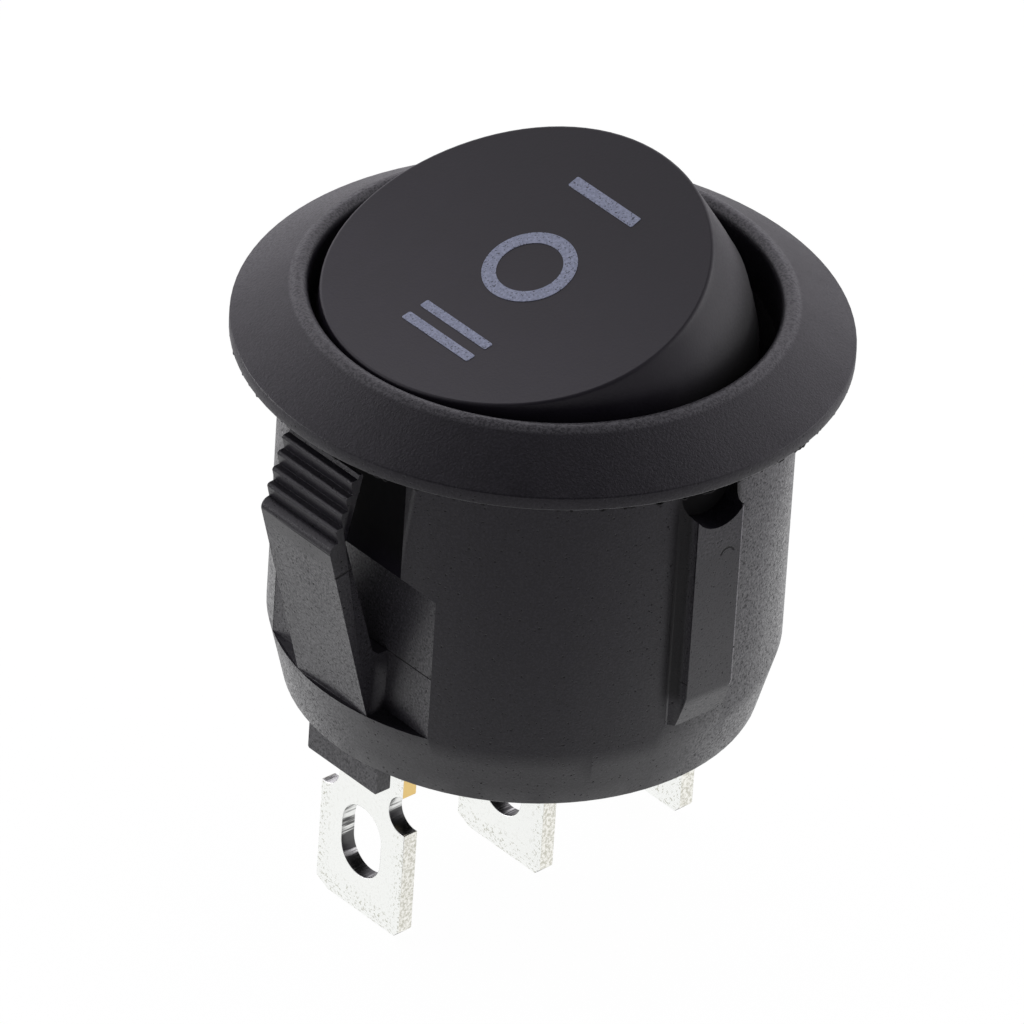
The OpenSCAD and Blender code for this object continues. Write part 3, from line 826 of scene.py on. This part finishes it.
def dressed_copy(node: str, name: str, finish: bpy.types.Material, body: Body,
                 rounding: Rounding, second: tuple[bpy.types.Material, Zone] | None = None) -> None:
    """Puts a rounded and dressed copy of a solid in the solid's place.

    Args:
        node: the solid's name.
        name: the piece's name.
        finish: its material.
        body: the body that it rides on.
        rounding: how its edges are rounded.
        second: a second finish, and the zone whose faces have it.
    """
    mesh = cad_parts[node].data.copy()
    rounding.apply(mesh)
    obj = piece(name, mesh, finish, body)
    if second:
        second_finish, zone = second
        mesh.materials.append(second_finish)
        for polygon in mesh.polygons:
            polygon.material_index = int(zone.holds(polygon.center / MM))
    even = obj.modifiers.new("even shading", "WEIGHTED_NORMAL")
    even.keep_sharp = True
    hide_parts(node)


HOUSING_ROUNDING = Rounding((
    # The shelves behind the latches
    Zone(0.10, x=(8.3, 9.7), y=(2.0, 4.2), z=(-12.1, -11.9)),
    # The keys' long corners, the first of each pair rounder than the other
    Zone(0.14, x=(0.9, 1.3), y=(9.9, 10.4), z=(-12.0, -3.0), hand=1),
    Zone(0.07, x=(0.9, 1.3), y=(9.9, 10.4), z=(-12.0, -3.0), hand=-1),
    # The keys' slanted feet
    Zone(0.08, x=(0.0, 1.9), y=(9.5, 10.4), z=(-12.0, -9.9)),
    # The body's lower edge
    Zone(0.10, z=(-14.8, -14.6), radius=(8.6, 9.0)),
    # The bezel's lower rim
    Zone(0.05, z=(-0.1, 0.6), radius=(11.4, 11.6)),
    # The recesses' sides
    Zone(0.05, x=(8.0, 9.4), y=(2.9, 4.6), z=(-11.9, -0.1)),
    # The latch arms' sides
    Zone(0.13, x=(9.2, 11.7), y=(1.8, 2.1), z=(-12.0, -4.4)),
))

# The recesses behind the latches, down to their lower edges, whose faces take the shaded copy of the nylon
RECESS = Zone(x=(8.9, 9.3), y=(0.0, 3.2), z=(-5.4, -0.05), radius=(0.0, 9.56))

# The rocker's face edge, then the lower edges of its wall, in the rocker's own upright frame
ROCKER_ROUNDING = Rounding(
    (Zone(0.30, z=(5.0, 5.9), radius=(6.9, 7.4), steps=5), Zone(0.06, z=(-2.0, 5.0), radius=(6.9, 8.4))),
    Matrix.Rotation(math.radians(TILT), 4, "Y") @ Matrix.Translation((0, 0, -PIVOT_Z)))

BLADE_ROUNDING = Rounding((Zone(0.035, z=(-23.0, -14.6), steps=2),))


@dataclass
class Flash:
    """Thin, ragged skin that the mould leaves under the bezel's lower edge."""

    radius: float = 11.46
    width: float = 0.12
    thickness: float = 0.05
    drop: float = 0.13
    top_z: float = 0.01
    around: int = 1080
    seed: int = 7
    coarse_waves: float = 17.0
    ragged_waves: float = 61.0
    coarse_share: float = 1.6
    ragged_share: float = 0.9
    flare: float = 0.0025
    jitter: float = 0.0004

    def build(self, finish: bpy.types.Material) -> None:
        """Hangs the skin under the bezel.

        Args:
            finish: the housing's nylon.
        """
        dice = random.Random(self.seed)
        inner_radius = self.radius - self.width
        bm = bmesh.new()
        bmesh.ops.create_circle(bm, segments=self.around, radius=inner_radius)
        grown = bmesh.ops.extrude_edge_only(bm, edges=bm.edges)["geom"]
        outer = {item for item in grown if isinstance(item, bmesh.types.BMVert)}
        grow = self.radius / inner_radius
        bmesh.ops.scale(bm, vec=(grow, grow, 1.0), verts=list(outer))
        for vert in bm.verts:
            way = Vector((vert.co.x, vert.co.y, 0.0)).normalized()
            coarse = noise.noise(way * self.coarse_waves)
            ragged = noise.noise(way * self.ragged_waves)
            hang = max(0.0, min(1.0, self.coarse_share * coarse + self.ragged_share * ragged))
            vert.co.z = self.top_z - self.drop * hang
            if vert in outer:
                spread = self.flare * max(0.0, ragged) + self.jitter * dice.random()
                vert.co *= 1.0 + spread * (hang > 0.0)
        bmesh.ops.solidify(bm, geom=list(bm.faces), thickness=self.thickness)
        bmesh.ops.recalc_face_normals(bm, faces=bm.faces)
        bmesh.ops.scale(bm, vec=(MM, MM, MM), verts=bm.verts)
        piece("mould_flash", meshed(bm, "mould_flash"), finish, Body.BASE)


@dataclass
class Signs:
    """The signs I, O and II printed on the rocker's hollow face.

    Places on the face are along the rocker (u) and across it (v), from the face's middle. Each bar
    has its first and last u and its first and last v.
    """

    rise: float = 5.15
    hollow: float = 47.4
    paint: float = 0.02
    sink: float = 0.03
    corner: float = 0.07
    bars: dict[str, tuple[float, float, float, float]] = field(default_factory=lambda: {
        "sign_i": (4.08, 4.59, -1.76, 1.77),
        "sign_ii_inner": (-3.60, -3.21, -2.32, 1.33),
        "sign_ii_outer": (-4.48, -4.06, -2.32, 1.33)})
    ring_centre: tuple[float, float] = (0.39, -0.24)
    ring_radii: tuple[float, float] = (1.25, 1.79)

    def on_face(self, place: Vector) -> Vector:
        """Returns the row-frame point over a face place, its z the height above the face.

        Args:
            place: (u, v, height) in millimetres.
        """
        drop = self.hollow - math.sqrt(self.hollow ** 2 - place.x ** 2)
        turn = math.radians(-TILT)
        height = self.rise + drop + place.z
        x = place.x * math.cos(turn) + height * math.sin(turn)
        z = -place.x * math.sin(turn) + height * math.cos(turn) + PIVOT_Z
        return Vector((x, place.y, z)) * MM

    def wrap(self, bm: bmesh.types.BMesh, name: str, finish: bpy.types.Material) -> None:
        """Gives flat outlines the paint's thickness and lays them on the face, a little sunk in.

        Args:
            bm: the outlines.
            name: the piece's name.
            finish: the paint.
        """
        grown = bmesh.ops.extrude_face_region(bm, geom=list(bm.faces))["geom"]
        tops = [item for item in grown if isinstance(item, bmesh.types.BMVert)]
        bmesh.ops.translate(bm, verts=tops, vec=(0, 0, self.paint + self.sink))
        bmesh.ops.translate(bm, verts=bm.verts, vec=(0, 0, -self.sink))
        for vert in bm.verts:
            vert.co = self.on_face(vert.co)
        bmesh.ops.recalc_face_normals(bm, faces=bm.faces)
        piece(name, meshed(bm, name), finish, Body.ROCKER)

    def build(self, finish: bpy.types.Material) -> None:
        """Prints the signs.

        Args:
            finish: the paint.
        """
        for name, (u0, u1, v0, v1) in self.bars.items():
            bm = bmesh.new()
            bmesh.ops.create_grid(bm, x_segments=3, y_segments=12, size=0.5)
            bmesh.ops.scale(bm, vec=(u1 - u0, v1 - v0, 1.0), verts=bm.verts)
            bmesh.ops.translate(bm, vec=((u0 + u1) / 2, (v0 + v1) / 2, 0.0), verts=bm.verts)
            corners = [v for v in bm.verts if len(v.link_edges) == 2]
            bmesh.ops.bevel(bm, geom=corners, offset=self.corner, segments=3, profile=0.5,
                            affect="VERTICES", material=-1)
            self.wrap(bm, name, finish)
        bm = bmesh.new()
        for radius in self.ring_radii:
            bmesh.ops.create_circle(bm, segments=96, radius=radius)
        bmesh.ops.bridge_loops(bm, edges=bm.edges)
        bmesh.ops.translate(bm, vec=(*self.ring_centre, 0.0), verts=bm.verts)
        self.wrap(bm, "sign_o", finish)


@dataclass
class Inside:
    """The sealed pieces: plunger, spring, contact strip and contacts.
    """

    slide_way: tuple[float, float, float] = (-0.282341, 0.0, 0.959314)
    spring_seat: tuple[float, float, float] = (-1.053, 0.0, 2.078)
    spring_keep: float = 0.873

    def dress(self) -> None:
        """Dresses each sealed piece."""
        nylon = NaturalNylon().material()
        copper = Metal("strip copper", (0.76, 0.44, 0.25), 0.34).material()
        silver = Metal("contact silver", (0.84, 0.84, 0.81), 0.28).material()
        steel = Metal("spring steel", (0.55, 0.56, 0.58), 0.3).material()
        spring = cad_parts["plunger_spring"].data.copy()
        coil = piece("spring_coil", spring, steel, Body.ROCKER)
        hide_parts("plunger_spring")
        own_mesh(coil)
        for node, finish in (("plunger", nylon), ("contact_strip", copper),
                             ("moving_contact_i", silver), ("moving_contact_ii", silver),
                             ("fixed_contact_i", silver), ("fixed_contact_ii", silver)):
            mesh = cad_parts[node].data
            mesh.materials.clear()
            mesh.materials.append(finish)
            LOG.info("%s dressed", node)


# ---------------------------------------------------------------- studio


@dataclass
class Studio:
    """White floor and soft light, and the camera on the switch's II end.

    A span holds where a light starts to change, where it ends, and its strength at each.
    """

    azimuth: float = -42.684
    elevation: float = 33.505
    roll: float = 3.722
    distance: float = 724.6
    lens: float = 696.09375
    sensor: float = 36.0
    aim: tuple[float, float] = (1.117, 6.416)
    floor_z: float = -22.95
    floor_half: float = 3000.0
    floor_colour: Colour = (0.8, 0.8, 0.8)
    floor_white: float = 0.93
    glow: float = 1.05
    tint: Colour = (0.965, 0.93, 1.0)
    round_span: tuple[float, ...] = (-0.1, 0.6, 1.0, 0.10)
    above_span: tuple[float, ...] = (0.6, 1.05, 1.0, 0.2)
    floor_span: tuple[float, ...] = (8.0, 31.0, 1.0, 0.16)
    pool_span: tuple[float, ...] = (26.0, 44.0, 1.0, 0.12)
    lamp_size: float = 300.0
    lamp_place: tuple[float, float, float] = (420.0, 20.0, -160.0)
    lamp_powers: dict[str, float] = field(default_factory=lambda: {"left light": 1.2, "right light": 0.3})

    def axes(self) -> tuple[Vector, Vector, Vector]:
        """Returns the camera's right, up and back directions."""
        a, e, r = (math.radians(v) for v in (self.azimuth, self.elevation, self.roll))
        right = Vector((math.cos(a), math.sin(a), 0.0))
        back = Vector((math.sin(a) * math.cos(e), -math.cos(a) * math.cos(e), math.sin(e)))
        up = back.cross(right)
        return right * math.cos(r) + up * math.sin(r), up * math.cos(r) - right * math.sin(r), back

    def toward(self) -> Vector:
        """Returns the level direction from the switch to the camera."""
        _, _, back = self.axes()
        return Vector((back.x, back.y, 0.0)).normalized()

    def camera(self) -> None:
        """Places the camera."""
        right, up, back = self.axes()
        place = (-self.aim[0] * right - self.aim[1] * up + self.distance * back) * MM
        data = bpy.data.cameras.new("camera")
        data.sensor_width = self.sensor
        data.lens = self.lens
        data.clip_start = 0.01
        data.clip_end = 50.0
        obj = bpy.data.objects.new("camera", data)
        bpy.context.scene.collection.objects.link(obj)
        turn = Matrix((right, up, back)).transposed().to_4x4()
        obj.matrix_world = Matrix.Translation(place) @ turn
        bpy.context.scene.camera = obj

    def panel(self, name: str, place: Vector, power: float) -> None:
        """Adds a square soft light that faces the switch.

        Args:
            name: the light's name.
            place: its middle in millimetres.
            power: its power in watts.
        """
        data = bpy.data.lights.new(name, "AREA")
        data.shape = "SQUARE"
        data.size = self.lamp_size * MM
        data.energy = power
        obj = bpy.data.objects.new(name, data)
        bpy.context.scene.collection.objects.link(obj)
        spot = place * MM
        obj.matrix_world = Matrix.Translation(spot) @ spot.to_track_quat("Z", "Y").to_matrix().to_4x4()

    def world(self) -> None:
        """Surrounds the switch with soft light: bright round the sides and back, dim above and in front."""
        world = bpy.data.worlds.new("studio")
        bpy.context.scene.world = world
        world.use_nodes = True
        tree = world.node_tree
        tree.nodes.clear()
        nodes = {key: tree.nodes.new("ShaderNode" + kind) for key, kind in (
            ("out", "OutputWorld"), ("light", "Background"), ("seen", "Background"),
            ("mix", "MixShader"), ("path", "LightPath"), ("where", "TexCoord"),
            ("toward", "VectorMath"), ("round", "MapRange"), ("parts", "SeparateXYZ"),
            ("above", "MapRange"), ("both", "Math"))}
        nodes["toward"].operation = "DOT_PRODUCT"
        nodes["toward"].inputs[1].default_value = self.toward()
        nodes["both"].operation = "MULTIPLY"
        for key, numbers in (("round", self.round_span), ("above", self.above_span)):
            nodes[key].interpolation_type = "SMOOTHSTEP"
            for name, number in zip(("From Min", "From Max", "To Min", "To Max"), numbers):
                nodes[key].inputs[name].default_value = number
        for source, target in (
                (nodes["where"].outputs["Generated"], nodes["toward"].inputs[0]),
                (nodes["where"].outputs["Generated"], nodes["parts"].inputs[0]),
                (nodes["toward"].outputs["Value"], nodes["round"].inputs["Value"]),
                (nodes["parts"].outputs[2], nodes["above"].inputs["Value"]),
                (nodes["round"].outputs[0], nodes["both"].inputs[0]),
                (nodes["above"].outputs[0], nodes["both"].inputs[1]),
                (nodes["both"].outputs[0], nodes["light"].inputs["Strength"]),
                (nodes["path"].outputs["Is Camera Ray"], nodes["mix"].inputs[0]),
                (nodes["light"].outputs[0], nodes["mix"].inputs[1]),
                (nodes["seen"].outputs[0], nodes["mix"].inputs[2]),
                (nodes["mix"].outputs[0], nodes["out"].inputs["Surface"])):
            tree.links.new(source, target)
        nodes["light"].inputs["Color"].default_value = (*self.tint, 1.0)
        nodes["seen"].inputs["Color"].default_value = (1.0, 1.0, 1.0, 1.0)

    def floor_finish(self) -> bpy.types.Material:
        """Builds the floor's finish: white to the camera, and bright in reflections near the switch."""
        s = Shader("white floor")
        s.finish(Base_Color=self.floor_colour, Roughness=0.9)
        glow = s.tree.nodes.new("ShaderNodeEmission")
        path = s.tree.nodes.new("ShaderNodeLightPath")
        mix = s.tree.nodes.new("ShaderNodeMixShader")
        x, y, _ = s.split(s.place())
        lit = 1.0
        for distance, (low, high, full, dim) in ((s.along(x, y, self.toward()), self.floor_span),
                                                 (s.reach(x, y), self.pool_span)):
            lit = s.times(lit, s.span(distance, low * MM, high * MM, full, dim))
        mirrored = s.times(path.outputs["Is Glossy Ray"], lit)
        seen = s.times(path.outputs["Is Camera Ray"], self.floor_white)
        s.link(s.plus(seen, mirrored), mix.inputs[0])
        s.link(s.principled.outputs[0], mix.inputs[1])
        s.link(glow.outputs[0], mix.inputs[2])
        s.link(mix.outputs[0], s.output.inputs["Surface"])
        glow.inputs["Strength"].default_value = self.glow
        return s.material

    def floor(self) -> None:
        """Lays a pale floor that shows white and keeps a soft shadow."""
        bm = bmesh.new()
        bmesh.ops.create_grid(bm, x_segments=1, y_segments=1, size=self.floor_half * MM)
        bmesh.ops.translate(bm, verts=bm.verts, vec=(0, 0, self.floor_z * MM))
        mesh = meshed(bm, "floor")
        obj = bpy.data.objects.new("floor", mesh)
        bpy.context.scene.collection.objects.link(obj)
        mesh.materials.append(self.floor_finish())

    def build(self) -> None:
        """Builds the studio."""
        self.world()
        self.floor()
        right, up, back = self.axes()
        aside, over, behind = self.lamp_place
        for hand, (name, power) in zip((-1, 1), self.lamp_powers.items()):
            self.panel(name, hand * aside * right + over * up + behind * back, power)
        self.camera()
        bpy.context.scene.view_settings.view_transform = "Standard"


def main() -> None:
    """Builds and dresses the switch, then its studio."""
    logging.basicConfig(level=logging.INFO, format="%(message)s")
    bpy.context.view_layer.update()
    housing = HousingNylon().material()
    rocker = RockerNylon().material()
    tin = TinPlate().material()
    dressed_copy("housing", "housing_moulding", housing, Body.BASE, HOUSING_ROUNDING,
                 second=(HousingNylon().shaded(), RECESS))
    dressed_copy("rocker", "rocker_moulding", rocker, Body.ROCKER, ROCKER_ROUNDING)
    for end in ("i", "common", "ii"):
        dressed_copy(f"terminal_{end}", f"blade_{end}", tin, Body.BASE, BLADE_ROUNDING)
    Flash().build(housing)
    Signs().build(SignPaint().material())
    Inside().dress()
    Studio().build()


if __name__ == "__main__":
    main()
